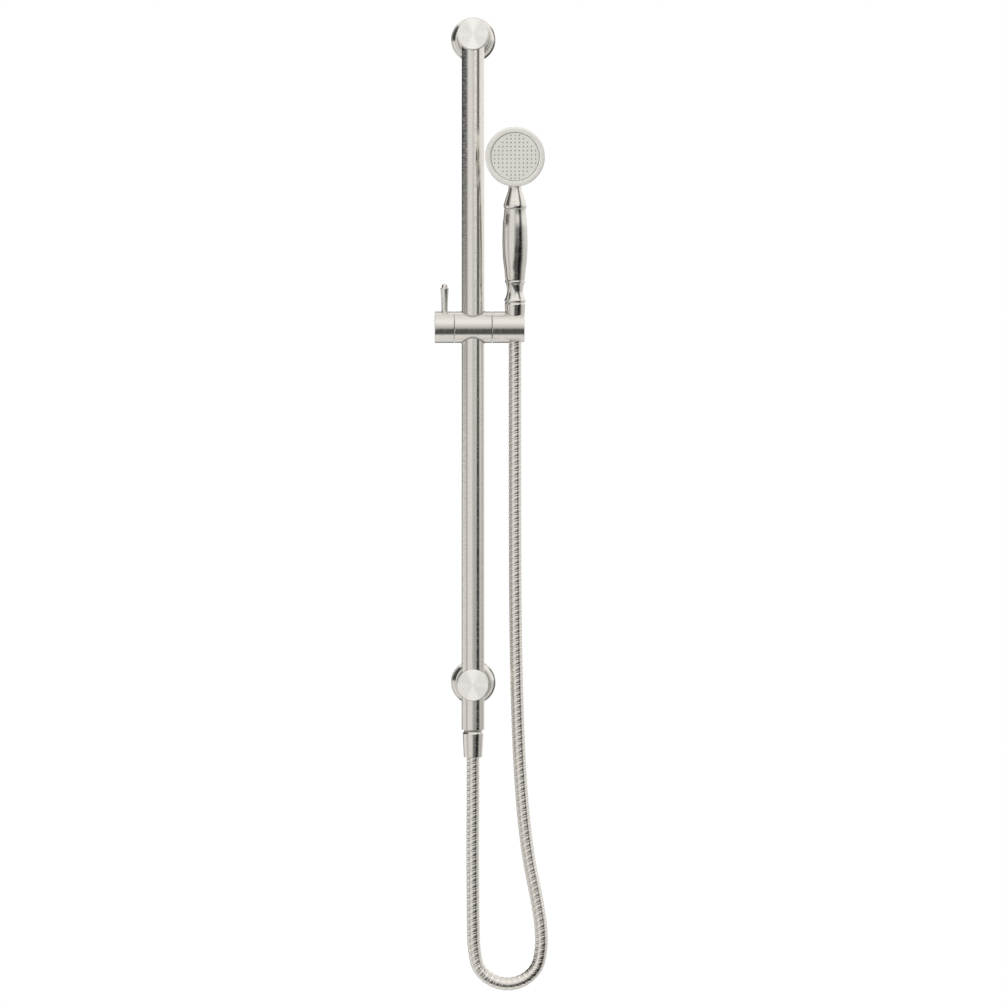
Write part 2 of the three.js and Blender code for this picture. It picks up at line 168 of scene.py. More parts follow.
class Line:
    """A curve in space measured by its own length, with a frame that doesn't twist."""

    def __init__(self, points):
        self.points = np.array(points)
        steps = np.linalg.norm(np.diff(self.points, axis=0), axis=1)
        self.lengths = np.concatenate([[0], np.cumsum(steps)])
        self.ahead = np.gradient(self.points, self.lengths, axis=0)
        self.ahead /= np.linalg.norm(self.ahead, axis=1)[:, None]
        side = np.array([1.0, 0, 0])
        sides = []
        for ahead in self.ahead:
            side = side - ahead * (side @ ahead)
            side = side / np.linalg.norm(side)
            sides.append(side)
        self.sides = np.array(sides)

    @property
    def length(self):
        return self.lengths[-1]

    def at(self, values, where):
        return np.stack([np.interp(where, self.lengths, column) for column in values.T], axis=-1)

    def place(self, where, angle, radius):
        """Points at a length along the line, turned about it by angle, radius away from it."""
        ahead, side = self.at(self.ahead, where), self.at(self.sides, where)
        round_way = np.cross(ahead, side)
        out = side * np.cos(angle)[..., None] + round_way * np.sin(angle)[..., None]
        return self.at(self.points, where) + out * radius[..., None]


hose = Line(flowing(np.array(HOSE_ROUTE) * MM, steps=24))
print(f"hose line: {hose.length:.4f} m")

# %% [markdown]
# ## The metal spiral
# A shower hose's jacket is one folded steel strip, wound in a screw so that each turn hooks over the
# last. From outside it shows a wide rounded band and a narrow, lower one, side by side, climbing
# round the hose. Separate rings would be simpler, but then the bands would not slant. So the
# strip's cross section is swept along the screw itself, and neighbouring turns share their edge.
# Each stretch ends where the next one starts, on the same screw line or at the same level cut, so
# no seam shows at rest.

# %% Build the spiral
HOSE_RADIUS = 7.0
STRIP_WIDTH = 6.98  # how far the jacket climbs in one turn, in millimetres
STRIP = [  # share of that climb, and radius in millimetres, across one turn of the strip
    (0, 6.6), (0.018, 6.85), (0.06, 6.94), (0.15, 6.985), (0.315, HOSE_RADIUS), (0.48, 6.985),
    (0.57, 6.94), (0.612, 6.85), (0.63, 6.6), (0.69, 6.68), (0.815, 6.73), (0.94, 6.68),
]
AROUND = 40  # points round the hose
BAND_EDGE = 6.8  # the strip's lower band lies inside this radius
turns = round(hose.length / MM / STRIP_WIDTH)
climb = hose.length / turns


def new_object(name, verts, faces):
    mesh = bpy.data.meshes.new(name)
    mesh.from_pydata(verts, [], faces)
    piece = bpy.data.objects.new(name, mesh)
    bpy.context.collection.objects.link(piece)
    return piece


def tidy_mesh(piece, sharp=32, close=False):
    """Faces that point out, and smooth shading that keeps edges which turn by more than sharp."""
    shape = bmesh.new()
    shape.from_mesh(piece.data)
    if close:
        rims = [edge for edge in shape.edges if edge.is_boundary]
        caps = bmesh.ops.holes_fill(shape, edges=rims, sides=0)["faces"]
        bmesh.ops.triangulate(shape, faces=caps)
    bmesh.ops.recalc_face_normals(shape, faces=shape.faces)
    shape.to_mesh(piece.data)
    shape.free()
    piece.data.shade_smooth()
    piece.data.set_sharp_from_angle(angle=radians(sharp))
    return piece


def spiral(name, first, last, cut_first=False, cut_last=False):
    """The jacket from one turn of the strip to another, closed at both ends. Where the hose hangs
    plumb an end can be cut level, and then the screw is built a little longer first."""
    per_turn = len(STRIP)
    start = math.floor(first) - 2 if cut_first else first
    rows = ((math.ceil(last) + 1 if cut_last else last) - start) * per_turn
    row, column = np.meshgrid(np.arange(rows + 1), np.arange(AROUND), indexing="ij")
    share, radius = np.array(STRIP)[row % per_turn].transpose(2, 0, 1)
    where = (start + row // per_turn + share + column / AROUND) * climb
    verts = hose.place(where, column / AROUND * tau, radius * MM)
    number = np.arange(rows + 1)[:, None] * AROUND + np.arange(AROUND)
    inner = [number[:-1, :-1], number[:-1, 1:], number[1:, 1:], number[1:, :-1]]
    low, high = number[: rows - per_turn], number[per_turn:rows]
    seam = [low[:, -1], high[:, 0], number[per_turn + 1 :, 0], number[1 : rows - per_turn + 1, -1]]
    faces = [np.stack(corners, axis=-1).reshape(-1, 4) for corners in (inner, seam)]
    piece = new_object(name, verts.reshape(-1, 3).tolist(), np.concatenate(faces).tolist())
    lower_band = piece.data.attributes.new("lower_band", "FLOAT", "POINT")
    lower_band.data.foreach_set("value", (radius < BAND_EDGE).astype(np.float32).ravel())
    for wanted, turn, keep in ((cut_first, first, 1), (cut_last, last, -1)):
        if wanted:
            cut_level(piece, Vector(hose_at(turn)), Vector(hose_at(turn + keep)))
    return tidy_mesh(piece, sharp=40, close=True)


def cut_level(piece, spot, kept_side):
    """Cuts one end off a piece with a level plane through spot, on the side away from kept_side."""
    shape = bmesh.new()
    shape.from_mesh(piece.data)
    near = {vert for vert in shape.verts if (vert.co - spot).length < 5 * climb}
    parts = [*near, *(e for e in shape.edges if near.issuperset(e.verts))]
    parts += [face for face in shape.faces if near.issuperset(face.verts)]
    up = Vector((0, 0, 1 if kept_side.z > spot.z else -1))
    bmesh.ops.bisect_plane(shape, geom=parts, plane_co=spot, plane_no=up, clear_inner=True, dist=1e-7)
    shape.to_mesh(piece.data)
    shape.free()


def hose_at(turn):
    """The hose's middle at a turn of the strip, which needn't be a whole one."""
    return hose.at(hose.points, turn * climb)


def hose_path(first, last):
    """Points along the hose's middle between two turns, four to each turn."""
    return hose_at(np.linspace(first, last, math.ceil(4 * (last - first)))).tolist()


def turn_where(z, right):
    """Where the hose passes a height in its lower part, on its left leg or on its right one."""
    lowest = int(np.argmin(hose.points[:, 2]))
    leg = slice(lowest, 2 * lowest) if right else slice(0, lowest)
    nearest = int(np.argmin(np.abs(hose.points[leg, 2] - z))) + (lowest if right else 0)
    return hose.lengths[nearest] / climb


LOOP_LEFT = -1.005  # heights of the loop's two ends, where the hose hangs plumb
LOOP_RIGHT = -1.008
left_end, right_end = turn_where(LOOP_LEFT, False), turn_where(LOOP_RIGHT, True)
names = ["hose_lower", "hose_loop", "hose_riser", "hose_swing", "hose_tilt", "hose_top"]
upper_cuts = [min(round(share * turns), turns - 1) for share in HOSE_CUTS]
cuts = [0, left_end, right_end, *upper_cuts]
jacket = {}
for name, first, last in zip(names, cuts, cuts[1:]):
    level_cuts = (first in (left_end, right_end), last in (left_end, right_end))
    jacket[name] = spiral(name + "_jacket", first, last, *level_cuts)
print(f"{turns} turns of strip, each {climb / MM:.3f} mm long, cut at", [round(cut, 1) for cut in cuts])

# %% [markdown]
# ## Where the hose would follow its moving end
# When the slider moves, the loop of the hose follows it part of the way: one leg grows and the other
# shrinks. The loop keeps its shape, so it takes one constant share of the slider's travel. This cell
# only works out the heights between which the leg at the outlet would go from standing still, at its
# nut, to that share, and the riser from the loop's share to the whole travel, with the loop's share
# given as how far along such an eased blend it lies. The stretches meet at level cuts. The short
# stretches near the handset are listed with the two bodies whose movement each would take up. No
# blend is made: each stretch's placing is baked into its mesh and the imported hose pieces are hidden.

# %% Hose stretches baked in place
LOOP_SHARE = 0.42
turn_point = dict(zip(names, map(hose_at, cuts)))


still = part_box("lower_hose_nut")[0].z - climb  # from here up the hose stays with its nut
left_z, right_z = turn_point["hose_loop"][2], turn_point["hose_riser"][2]
riser_top = turn_point["hose_swing"][2] - 2 * climb
leg_end = still + (left_z - still) / LOOP_SHARE
riser_start = (right_z - LOOP_SHARE * riser_top) / (1 - LOOP_SHARE)
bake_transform(jacket["hose_lower"])
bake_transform(jacket["hose_riser"])
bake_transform(jacket["hose_loop"])
ends = {**turn_point, "end": hose_at(cuts[-1])}
for name, one, other, onward in (
    ("hose_swing", "rail_bush", "slider", "hose_tilt"),
    ("hose_tilt", "slider", "holder", "hose_top"),
    ("hose_top", "holder", "hose_end", "end"),
):
    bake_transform(jacket[name])
for name, piece in jacket.items():
    for node in ("hose_lower", "hose_riser") if name == "hose_loop" else (name,):
        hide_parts(node)

for name, first, last in zip(names[:5], cuts, cuts[1:]):
    hose_at(first)
    round((last - first) * climb, 3)
    hose_path(first, last)
    print(f"{name}: {(last - first) * climb:.3f} m")

# %% [markdown]
# ## Shader arithmetic
# A finish is a small calculation: so much grain here, a little more roughness there. Written as
# plain nodes it takes a page of wiring, so one class wraps a socket and turns Python's operators
# into Math nodes. A second one holds a node tree and adds any other node in one call.


# %% Sockets that can be calculated with
class Value:
    """A shader socket that stands for a number and can be used in Python arithmetic."""

    def __init__(self, tree, socket):
        self.tree, self.socket = tree, socket

    def math(self, operation, *others, first=None):
        node = self.tree.nodes.new("ShaderNodeMath")
        node.operation = operation
        given = (self, *others) if first is None else (first, self)
        for socket, value in zip(node.inputs, given):
            plug(self.tree, socket, value)
        return Value(self.tree, node.outputs[0])

    def __add__(self, other):
        return self.math("ADD", other)

    def __sub__(self, other):
        return self.math("SUBTRACT", other)

    def __rsub__(self, other):
        return self.math("SUBTRACT", first=other)

    def __mul__(self, other):
        return self.math("MULTIPLY", other)

    def __truediv__(self, other):
        return self.math("DIVIDE", other)

    def __rtruediv__(self, other):
        return self.math("DIVIDE", first=other)

    def __pow__(self, other):
        return self.math("POWER", other)

    def __neg__(self):
        return self.math("MULTIPLY", -1)

    __radd__ = __add__
    __rmul__ = __mul__


def plug(tree, socket, value):
    if isinstance(value, Value):
        tree.links.new(value.socket, socket)
    else:
        socket.default_value = value


class Tree:
    """A node tree under construction."""

    def __init__(self, nodes):
        self.tree = nodes
        self.tree.nodes.clear()

    def add(self, kind, settings=None, sockets=None, output=0):
        """Adds a node: its settings first, then the values or links of its sockets."""
        node = self.tree.nodes.new(kind)
        for name, value in (settings or {}).items():
            setattr(node, name, value)
        for name, value in (sockets or {}).items():
            plug(self.tree, node.inputs[name], value)
        return Value(self.tree, node.outputs[output]) if node.outputs else node

    def parts(self, vector):
        """The three numbers of a vector."""
        node = self.add("ShaderNodeSeparateXYZ", sockets={"Vector": vector}).socket.node
        return [Value(self.tree, socket) for socket in node.outputs]

    def vector(self, x, y, z):
        return self.add("ShaderNodeCombineXYZ", sockets={"X": x, "Y": y, "Z": z})

    def ramp(self, value, low, high, start=0.0, end=1.0):
        """A smooth step: start up to low, end from high on."""
        settings = {"interpolation_type": "SMOOTHSTEP"}
        limits = {"From Min": low, "From Max": high, "To Min": start, "To Max": end}
        return self.add("ShaderNodeMapRange", settings, {"Value": value, **limits})

    def mix(self, share, one, other):
        """A colour between two colours."""
        settings = {"data_type": "RGBA"}
        node = self.add("ShaderNodeMix", settings).socket.node
        for socket, value in zip((node.inputs[0], node.inputs[6], node.inputs[7]), (share, one, other)):
            plug(self.tree, socket, value)
        return Value(self.tree, node.outputs[2])

    def noise(self, vector, scale, detail=2.0, roughness=0.5):
        sockets = {"Vector": vector, "Scale": scale, "Detail": detail, "Roughness": roughness}
        return self.add("ShaderNodeTexNoise", {"noise_dimensions": "3D"}, sockets)

    def bump(self, height, strength, distance):
        sockets = {"Height": height, "Strength": strength, "Distance": distance}
        return self.add("ShaderNodeBump", None, sockets)

    def surface(self, sockets):
        """Ends a material's tree with one Principled surface."""
        shader = self.add("ShaderNodeBsdfPrincipled", None, sockets)
        self.add("ShaderNodeOutputMaterial", None, {"Surface": shader})


def material(name):
    """A new material, its node tree, and the place on the object that its patterns start from."""
    made = bpy.data.materials.new(name)
    made.use_nodes = True
    tree = Tree(made.node_tree)
    return made, tree, tree.add("ShaderNodeTexCoord", output="Object")


print("shader arithmetic ready")

# %% [markdown]
# ## Turned nickel
# The fitting's parts are turned on a lathe, plated and finely brushed while they spin. The scratches
# run round each part, so along a tube they make faint rings, and on an end face they make circles.
# Distance along the axis plus distance from it counts across the scratches on walls and faces
# alike, so one noise, squeezed in that direction, gives the scratches to every turned part. They
# spread a reflection across themselves, which is what the Anisotropic sockets are for.

# %% Finish of the turned parts
finishes = {}


def brushed(slot, colour, roughness, spread, scratch, depth, metal=1.0, painted_sheen=0.0):
    """Brushed metal for a part turned about its own Z axis. scratch is in lines per metre, depth is
    theirs in metres, and spread is how far they smear a reflection. painted_sheen is how strongly a
    painted highlight, a brighter streak up and down an end face, is mixed into its colour."""
    made, look, here = material(slot)
    x, y, z = look.parts(here)
    radius = (x * x + y * y) ** 0.5
    across = radius + z
    lines = look.noise(look.vector(x * 60, y * 60, across * scratch), 1, 3, 0.6)
    strokes = look.noise(look.vector(x * 120, y * 120, across * scratch * 0.2), 1, 2, 0.6)
    cloud = look.noise(here, 28, 2)
    # with painted_sheen the dark end of the colour is lowered, so the painted highlight stands out
    darker = tuple(c * (0.93 - painted_sheen * 0.1) for c in colour) + (1,)
    shade = cloud * 0.5 + lines * 0.5
    # painted highlight: the colour is brighter along a line up and down the face, the sheen that circular
    # scratches throw from light above and below
    if painted_sheen:
        upright = (x / (radius + 1e-5)) ** 2
        painted_gleam = look.ramp(upright, 0.0, 0.35, 1.0, 0.0) + look.ramp(upright, 0.93, 1.0) * 0.3
        shade = shade * (1 - painted_sheen) + painted_gleam * painted_sheen + (strokes - 0.5) * 0.4
    look.surface({
        "Base Color": look.mix(shade, darker, (*colour, 1)),
        "Metallic": metal,
        "Roughness": roughness + (lines - 0.5) * 0.1 + (strokes - 0.5) * 0.5,
        "Anisotropic": spread,
        "Anisotropic Rotation": 0.25,
        "Normal": look.bump(lines, 0.5, depth),
    })
    finishes[slot] = made
    print(f"{slot}: roughness about {roughness}")


brushed("brushed_nickel", (0.81, 0.788, 0.75), 0.17, 0.35, 2600, 3e-6)
brushed("satin_face", (0.86, 0.845, 0.815), 0.42, 0.5, 2200, 2e-6, 0.3)
# the caps' end faces carry a painted highlight, a brighter streak up and down them painted into their colour
brushed("cap_face", (1.0, 0.985, 0.96), 0.38, 0.6, 2200, 2e-6, 0.3, 0.9)
brushed("bright_steel", (0.60, 0.60, 0.59), 0.3, 0.3, 1800, 6e-6)
brushed("bare_brass", (0.72, 0.56, 0.27), 0.26, 0.3, 1800, 6e-6)

# %% [markdown]
# ## The spiral's finish
# The strip is polished steel that has been rolled to shape, so it is shinier than the fitting and
# has no rings of its own. It gets a little soft mottling, as on any drawn strip. The lower band lies
# sunk between the wide ones: it is rougher, and its colour is painted a touch darker as shade.

# %% Finish of the hose
made, look, here = material("hose_spiral")
mottle = look.noise(here, 240, 3)
# lower_band marks the sunk band: more roughness, and painted shade in its colour
lower = look.add("ShaderNodeAttribute", {"attribute_name": "lower_band"}, output="Fac")
look.surface({
    "Base Color": look.mix(lower, (0.84, 0.815, 0.77, 1), (0.79, 0.76, 0.71, 1)),
    "Metallic": 1.0,
    "Roughness": 0.18 + lower * 0.08 + mottle * 0.05,
    "Normal": look.bump(mottle, 0.4, 6e-6),
})
finishes["hose_spiral"] = made
for piece in jacket.values():
    piece.data.materials.append(made)
print("hose_spiral: on", len(jacket), "stretches")

# %% [markdown]
# ## Rubber and plastic
# Seals, nozzles and bushes are moulded. A mould leaves an even, slightly pebbled skin with no
# direction, so these finishes are one noise for bump and roughness over a nearly plain colour.


# %% Finishes of the moulded parts
def moulded(slot, colour, roughness, pebble, depth):
    """Moulded rubber or plastic, with pebbles per metre in its skin and their depth in metres."""
    made, look, here = material(slot)
    skin = look.noise(here, pebble, 4, 0.6)
    pale = tuple(c * 1.12 + 0.005 for c in colour) + (1,)
    look.surface({
        "Base Color": look.mix(skin, (*colour, 1), pale),
        "Roughness": roughness + (skin - 0.5) * 0.15,
        "Normal": look.bump(skin, 0.6, depth),
    })
    finishes[slot] = made


moulded("black_rubber", (0.022, 0.022, 0.023), 0.72, 3000, 2e-5)
moulded("grey_plastic", (0.33, 0.33, 0.33), 0.45, 2400, 1e-5)
moulded("white_plastic", (0.68, 0.67, 0.63), 0.42, 2400, 1e-5)
moulded("nozzle_rubber", (0.25, 0.24, 0.22), 0.6, 3000, 1e-5)
print("finishes:", ", ".join(finishes))

# %% [markdown]
# ## Turning a part
# Almost every piece is a turned one, so one function does the lathe's work: it spins an outline of
# radius and height round the Z axis. A sharp corner catches no light, so a corner can carry a
# rounding, which becomes a short curve. The curve is fenced in by a ring on either side, which keeps
# the smooth shading of the long walls next to it straight.


# %% Turned pieces
CURVE = np.linspace(0, 1, 6)
FENCE = 0.06  # how far out a curve's fence stands, as a share of the curve's reach


def eased(corners, closed):
    """Corners as (radius, height, rounding) become points, with each rounded corner as a curve."""
    points = []
    for i, (radius, height, *rounding) in enumerate(corners):
        here = np.array([radius, height], float)
        ends_here = not closed and i in (0, len(corners) - 1)
        if not rounding or ends_here:
            points.append(here)
            continue
        back = np.array(corners[i - 1][:2]) - here
        onward = np.array(corners[(i + 1) % len(corners)][:2]) - here
        arms = [np.linalg.norm(back), np.linalg.norm(onward)]
        reach = min(rounding[0], 0.45 * min(arms))
        start, end = here + back / arms[0] * reach, here + onward / arms[1] * reach
        fence = FENCE * reach
        points.append(start + back / arms[0] * fence)
        points += [(1 - t) ** 2 * start + 2 * t * (1 - t) * here + t * t * end for t in CURVE]
        points.append(end + onward / arms[1] * fence)
    return points


def turned(name, corners, place=Matrix.Identity(4), sides=96, closed=False):
    """A solid of revolution about its own Z axis, from an outline in millimetres."""
    points = eased(corners, closed)
    verts, rings = [], []
    for radius, height in points:
        count = 1 if radius < 1e-6 else sides
        rings.append([len(verts) + i for i in range(count)] * (sides // count))
        verts += [
            (radius * cos(tau * i / sides) * MM, radius * sin(tau * i / sides) * MM, height * MM)
            for i in range(count)
        ]
    faces = []
    for one, other in zip(rings, rings[1:] + rings[:1] if closed else rings[1:]):
        for i in range(sides):
            j = (i + 1) % sides
            corner_loop = dict.fromkeys((one[i], one[j], other[j], other[i]))
            if len(corner_loop) > 2:
                faces.append(tuple(corner_loop))
    piece = new_object(name, verts, faces)
    piece.matrix_world = place
    return tidy_mesh(piece)


def rod(radius, low, high, place, sides=96):
    """A round cutter from one height to another, in millimetres."""
    return turned("cutter", [(0, low), (radius, low), (radius, high), (0, high)], place, sides)


def carved(piece, *cutters):
    """Cuts the cutters out of a piece, and removes them."""
    for cutter in cutters:
        cut = piece.modifiers.new("cut", "BOOLEAN")
        cut.operation, cut.solver, cut.object = "DIFFERENCE", "EXACT", cutter
    bpy.context.view_layer.update()
    shape = bpy.data.meshes.new_from_object(piece.evaluated_get(bpy.context.evaluated_depsgraph_get()))
    piece.modifiers.clear()
    piece.data = shape
    for cutter in cutters:
        bpy.data.objects.remove(cutter)
    return tidy_mesh(piece)


bodies = frame["record"]["behaviour"]["bodies"]
body_with = {node: body for body, nodes in bodies.items() for node in nodes}
slot_with = {part["node"]: part["material_slot"] for part in frame["record"]["subparts"]}


def stands_for(piece, node, finish=None):
    """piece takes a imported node's place: its body, its slot and its finish, unless one is given."""
    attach(piece, body_with[node])
    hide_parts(node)
    piece.data.materials.clear()
    piece.data.materials.append(finishes[finish or slot_with[node]])
    print(f"{piece.name}: {len(piece.data.polygons)} faces, rides on {body_with[node]}")
    return piece


# %% [markdown]
# ## The rail and the wall brackets
# Each bracket is a steel plate screwed to the wall, a cover flange that hides it, a turned post that
# carries the rail, and a thin end cap. The flange's outline is a flat rim, a hollow curve and a small
# raised collar. The post has real sockets for the rail, cut out of it, so that the rail enters it
# with the thin dark line that a real joint shows.

# %% Rail
RAIL_RADIUS = 12.5
RAIL_BORE = RAIL_RADIUS - 1.2
GAP = 0.3  # the dark line between two parts that meet
rail_low, rail_high = (corner.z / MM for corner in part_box("rail_tube"))
stands_for(
    turned("rail", [
        (RAIL_RADIUS, rail_low, 0.2), (RAIL_RADIUS, rail_high, 0.2), (RAIL_BORE, rail_high, 0.2),
        (RAIL_BORE, rail_low, 0.2),
    ], along_rail, closed=True),
    "rail_tube",
)

# %% Flanges, wall plates and end caps
POST_RADIUS = 17.5
POST_FRONT = 60
SCREW_PLACE = 14.6
STAND_OFF = -rail_y / MM
COVE = [(24.1, 3.7), (23.3, 4.2), (22.4, 5), (21.6, 6.1), (20.9, 7.6), (20.35, 9.4)]


def flange(name, place):
    """The cover over the wall plate."""
    cove = [tuple(point) for point in flowing(COVE, 4)]
    outline = [
        (24.8, 0, 0.2), (24.8, 3.3, 0.5), *cove, (20.1, 11, 0.5), (19.4, 11.4, 0.3), (17.8, 11.4, 0.2),
        (17.8, 5.6), (19, 5.6), (19, 0),
    ]
    return turned(name, outline, place, closed=True)


def end_cap(name, place):
    """A thin cap with a stem that is pressed into the post."""
    return turned(name, [
        (0, 54), (6, 54, 0.4), (6, POST_FRONT), (17, POST_FRONT, 0.15), (17, 63, 0.9), (0, 63),
    ], place)


def screw_hole(side, place):
    """A countersunk hole above or below the plate's middle."""
    shape = [(0, -1), (2.2, -1), (2.2, 2.4), (4, 4.2), (4, 6), (0, 6)]
    return turned("cutter", shape, place @ Matrix.Translation((0, side * SCREW_PLACE * MM, 0)), 48)


def wall_plate(name, bore, boss, place):
    """The plate that is screwed to the wall, with a hollow or a boss in its middle."""
    inner = [(bore, 5, 0.2), (bore, 0, 0.2)] if bore else [(boss, 5), (boss, 22, 0.5), (0, 22)]
    outline = [(18.5, 0, 0.2), (18.5, 5, 0.4), *inner]
    plate = turned(name, outline if bore else [(0, 0), *outline], place, closed=bool(bore))
    return carved(plate, screw_hole(1, place), screw_hole(-1, place))


for end, place in (("upper", upper_bracket), ("lower", lower_bracket)):
    stands_for(flange(f"{end}_wall_flange", place), f"{end}_flange")
    stands_for(end_cap(f"{end}_cap", place), f"{end}_end_cap", "cap_face")
stands_for(wall_plate("upper_plate", 0, 8.8, upper_bracket), "upper_wall_plate")
stands_for(wall_plate("lower_plate", 10.5, 0, lower_bracket), "lower_wall_plate")

# %% Posts
RAIL_SOCKET = 9.5  # how far the rail's sockets end from the post's axis
STUB_SOCKET = POST_RADIUS - 7.2
WATERWAY = 6.5
GRUB_PLACE = 16.5
GRUB_RADIUS = 2.5
GRUB_KEY = 1.25


def across_post(place, height):
    """A frame on a post's axis, height off the wall, with Z pointing up."""
    return place @ Matrix.Translation((0, 0, height * MM)) @ out_of_wall.inverted()


def post(name, bore, depth, place, *cutters):
    """A turned post, bored from the wall to depth for its plate's boss or connector."""
    outline = [
        (0, depth), (bore, depth), (bore, 5.3, 0.2), (POST_RADIUS, 5.3, 0.3),
        (POST_RADIUS, POST_FRONT - GAP, 0.35), (6.3, POST_FRONT - GAP, 0.3), (6.3, 53.7), (0, 53.7),
    ]
    grub_hole = rod(GRUB_RADIUS + GAP, -POST_RADIUS - 1, 0, across_post(place, GRUB_PLACE), 48)
    return carved(turned(name, outline, place), grub_hole, *cutters)


def grub_screw(name, inner, place):
    """A short headless screw with a hexagon socket in its lower end."""
    bottom = -POST_RADIUS + GAP
    spot = across_post(place, GRUB_PLACE)
    shape = [(0, bottom), (GRUB_RADIUS, bottom, 0.4), (GRUB_RADIUS, -inner, 0.4), (0, -inner)]
    return carved(turned(name, shape, spot, 48), rod(GRUB_KEY, bottom - 1, bottom + 2.2, spot, 6))


on_axis = across_post(upper_bracket, STAND_OFF)
upper_rail_hole = rod(RAIL_RADIUS + GAP, -POST_RADIUS - 1, -RAIL_SOCKET, on_axis)
stands_for(post("upper_bracket_post", 9.1, 22.3, upper_bracket, upper_rail_hole), "upper_post")
on_axis = across_post(lower_bracket, STAND_OFF)
lower_holes = [
    rod(RAIL_RADIUS + GAP, RAIL_SOCKET, POST_RADIUS + 1, on_axis),
    rod(RAIL_RADIUS + GAP, -POST_RADIUS - 1, -STUB_SOCKET, on_axis),
    rod(WATERWAY, -POST_RADIUS - 1, 0, on_axis, 48),
    rod(WATERWAY, 23.6, STAND_OFF + WATERWAY, lower_bracket, 48),
]
stands_for(post("lower_bracket_post", 10.5, 24.6, lower_bracket, *lower_holes), "lower_post")
stands_for(grub_screw("upper_set_screw", 9.1, upper_bracket), "upper_grub_screw")
stands_for(grub_screw("lower_set_screw", 10.5, lower_bracket), "lower_grub_screw")

# %% [markdown]
# ## Threads
# A half inch pipe thread has 14 crests to the inch. Only a few millimetres of it show, between the
# outlet and the hose's nut and inside the wall flange, so rings with a rounded crest and root read
# as a thread and stay simple.

# %% Inlet connector, outlet stub and nipple
THREAD_PITCH = 25.4 / 14
CREST, ROOT = 10.2, 9.45
STUB_END = -50
THREAD_TOP = STUB_END - GAP


def threaded(low, high):
    """Crests and roots of a thread from low to high, as outline corners."""
    count = int((high - low) / THREAD_PITCH)
    step = (high - low) / count
    corners = []
    for i in range(count):
        corners += [(ROOT, low + step * i, 0.2), (CREST, low + step * (i + 0.5), 0.2)]
    return [*corners, (ROOT, high, 0.2)]


stands_for(
    turned("inlet_pipe", [
        *threaded(0, 22), (6.8, 22, 0.2), (6.8, 0, 0.2),
    ], lower_bracket, closed=True),
    "inlet_connector",
)
outlet = Matrix.Translation((rail_x, rail_y, lower_z))
stands_for(
    turned("outlet_tube", [
        (WATERWAY, -10.6), (WATERWAY, -20.7), (8.5, -20.7), (8.5, STUB_END, 0.2),
        (RAIL_RADIUS, STUB_END, 0.4), (RAIL_RADIUS, -10.6),
    ], outlet, closed=True),
    "outlet_stub",
)
stands_for(
    turned("outlet_thread", [
        (5.5, -63, 0.2), *threaded(-63, THREAD_TOP), (8.2, THREAD_TOP), (8.2, -35), (3.2, -35),
        (3.2, -38), (5.5, -40),
    ], outlet, closed=True),
    "outlet_nipple", "brushed_nickel",
)

# %% [markdown]
# ## Valve spring
# The check valve sits in the outlet. Its spring is a coil between a fixed seat and the moving poppet;
# here it is one fixed coil from the seat to the poppet, at its resting length.


# %% Spring
def coil(name, mean, wire, rounds, low, high):
    """A spring that stands upright between two heights, all in metres."""
    angle = np.linspace(0, rounds * tau, rounds * 24 + 1)
    rise = np.linspace(low + wire, high - wire, len(angle))
    line = Line(np.stack([mean * np.cos(angle), mean * np.sin(angle), rise], axis=-1))
    row, column = np.meshgrid(line.lengths, np.arange(8) / 8 * tau, indexing="ij")
    verts = line.place(row, column, np.full(row.shape, wire))
    number = np.arange(row.size).reshape(row.shape)
    beside = np.roll(number, -1, axis=1)
    faces = np.stack([number[:-1], beside[:-1], beside[1:], number[1:]], axis=-1)
    piece = new_object(name, verts.reshape(-1, 3).tolist(), faces.reshape(-1, 4).tolist())
    return tidy_mesh(piece, close=True)


seat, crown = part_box("check_valve_spring")
spring = coil("valve_spring", 3.15 * MM, 0.4 * MM, 4, seat.z, crown.z)
spring.matrix_world = along_rail
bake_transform(spring)
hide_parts("check_valve_spring")
spring.data.materials.append(finishes["bright_steel"])
print(f"valve_spring: {(crown.z - seat.z) / MM:.1f} mm long")

# %% [markdown]
# ## Hose nuts
# Both ends of the hose carry the same tapering nut, wide at the thread and narrow where the hose
# goes in. The upper one is also the cone that sits in the holder.

# %% Nuts at both ends of the hose
NUT_LENGTH = 28


def hose_nut(name, place):
    """The nut with its narrow end at the bottom, where the hose goes in."""
    return turned(name, [
        (7.4, 0, 0.5), (10.05, 0, 0.7), (11.4, NUT_LENGTH - 1.9, 0.5), (10.6, NUT_LENGTH - GAP, 0.3),
        (10.5, NUT_LENGTH - GAP), (10.5, 11.5), (7.4, 11.5),
    ], place, closed=True)


lower_nut = Matrix.Translation((rail_x, rail_y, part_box("lower_hose_nut")[0].z))
stands_for(hose_nut("outlet_nut", lower_nut), "lower_hose_nut")
stands_for(hose_nut("handset_nut", handset), "upper_hose_nut")

# %% [markdown]
# ## The slider's barrel
# One round bar lies across the rail and is split in three: the lock knob on the left, the body that
# slides in the middle and the holder on the right. The knob and the body are bored from their ends,
# which an outline on the lathe can hold. The hole for the rail, and the leaning cone, the hose bore
# and the open slot of the holder cross the bar, so those are cut.

# %% Lock knob, slider body and lever
BARREL_RADIUS = 17.4
EDGE = 0.75  # how round the edges are where its three parts meet
barrel_left = (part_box("lock_knob")[0].x - rail_x) / MM
barrel_right = (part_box("holder_body")[1].x - rail_x) / MM
lock_face = (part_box("lock_knob")[1].x - rail_x) / MM
body_left, body_right = ((corner.x - rail_x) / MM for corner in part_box("slider_body"))
holder_left = (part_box("holder_body")[0].x - rail_x) / MM

